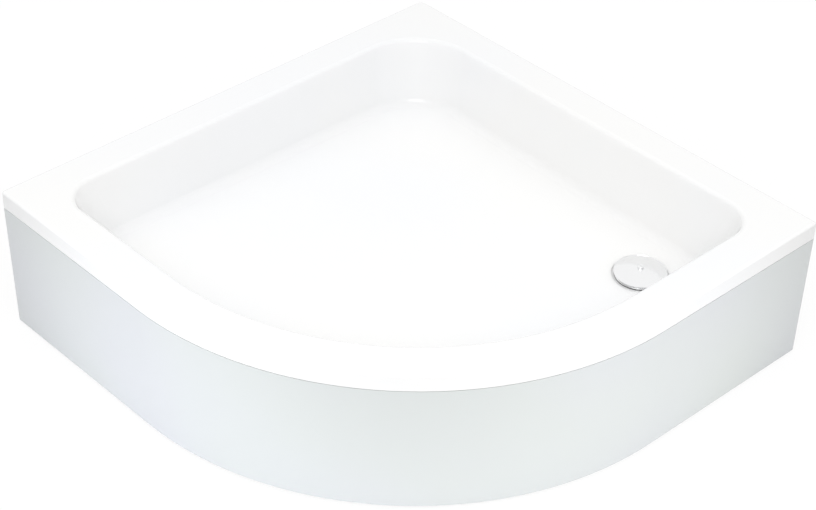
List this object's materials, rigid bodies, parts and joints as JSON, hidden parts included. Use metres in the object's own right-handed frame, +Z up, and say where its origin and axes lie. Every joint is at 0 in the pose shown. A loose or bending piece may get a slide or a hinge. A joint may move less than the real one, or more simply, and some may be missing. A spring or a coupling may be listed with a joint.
{
  "type": "quadrant shower tray",
  "caption": "Deep quadrant shower tray with a curved pull-off front apron, lift-off waste cover, low trap and levelling feet on a steel rail frame.",
  "frame": {"origin": "on the floor, under the middle of the 900 mm square footprint", "axes": "+Z up; the room corner is at -X +Y, the walls are on -X and +Y, the rounded front faces +X -Y"},
  "size_m": [0.9, 0.9, 0.26],
  "materials": {
    "acrylic": "glossy white",
    "apron_acrylic": "glossy white",
    "glass_fibre": "rough resin",
    "resin_bedding": "rough resin",
    "chipboard": "raw chipboard",
    "galvanised_steel": "galvanised",
    "zinc_steel": "zinc plated",
    "spring_steel": "satin",
    "magnet_block": "dull black",
    "chrome": "polished",
    "rubber": "matt black",
    "trap_plastic": "moulded white",
    "insert_plastic": "moulded grey",
    "grey_plastic": "moulded grey",
    "foot_plastic": "moulded black"
  },
  "bodies": {
    "tray": {"tray_shell": "acrylic", "tray_laminate": "glass_fibre", "floor_bedding": "resin_bedding", "base_board": "chipboard", "rail_left": "galvanised_steel", "rail_right": "galvanised_steel", "rail_drain_side": "galvanised_steel", "rail_caps": "grey_plastic", "rail_screws": "zinc_steel", "weld_nuts": "zinc_steel", "lock_nuts": "zinc_steel", "apron_clips": "spring_steel", "apron_magnets": "magnet_block", "wall_brackets": "galvanised_steel", "waste_flange": "chrome", "upper_gasket": "rubber", "lower_gasket": "rubber", "trap_body": "trap_plastic", "outlet_nut": "trap_plastic", "outlet_washer": "rubber", "outlet_pipe": "trap_plastic", "apron_bracket_left_front": "galvanised_steel", "apron_bracket_right_front": "galvanised_steel", "apron_bracket_drain_side": "galvanised_steel"},
    "apron": {"apron_panel": "apron_acrylic", "apron_keepers": "zinc_steel"},
    "insert": {"trap_insert": "insert_plastic", "insert_seal": "rubber"},
    "cover": {"cover_dome": "chrome", "cover_knob": "chrome"},
    "leg_left_front": {"rod_left_front": "zinc_steel", "foot_left_front": "foot_plastic"},
    "leg_left_back": {"rod_left_back": "zinc_steel", "foot_left_back": "foot_plastic"},
    "leg_right_front": {"rod_right_front": "zinc_steel", "foot_right_front": "foot_plastic"},
    "leg_right_back": {"rod_right_back": "zinc_steel", "foot_right_back": "foot_plastic"},
    "leg_drain_side": {"rod_drain_side": "zinc_steel", "foot_drain_side": "foot_plastic"}
  },
  "joints": [
    {"name": "apron_pull", "type": "slide", "parent": "tray", "child": "apron", "axis": [0.7071, -0.7071, 0], "range_m": [0, 0.25]},
    {"name": "insert_lift", "type": "slide", "parent": "tray", "child": "insert", "axis": [0, 0, 1], "range_m": [0, 0.11]},
    {"name": "cover_lift", "type": "slide", "parent": "insert", "child": "cover", "axis": [0, 0, 1], "range_m": [0, 0.05]},
    {"name": "level_left_front", "type": "slide", "parent": "tray", "child": "leg_left_front", "axis": [0, 0, 1], "range_m": [-0.012, 0.012]},
    {"name": "level_left_back", "type": "slide", "parent": "tray", "child": "leg_left_back", "axis": [0, 0, 1], "range_m": [-0.012, 0.012]},
    {"name": "level_right_front", "type": "slide", "parent": "tray", "child": "leg_right_front", "axis": [0, 0, 1], "range_m": [-0.012, 0.012]},
    {"name": "level_right_back", "type": "slide", "parent": "tray", "child": "leg_right_back", "axis": [0, 0, 1], "range_m": [-0.012, 0.012]},
    {"name": "level_drain_side", "type": "slide", "parent": "tray", "child": "leg_drain_side", "axis": [0, 0, 1], "range_m": [-0.012, 0.012]}
  ]
}
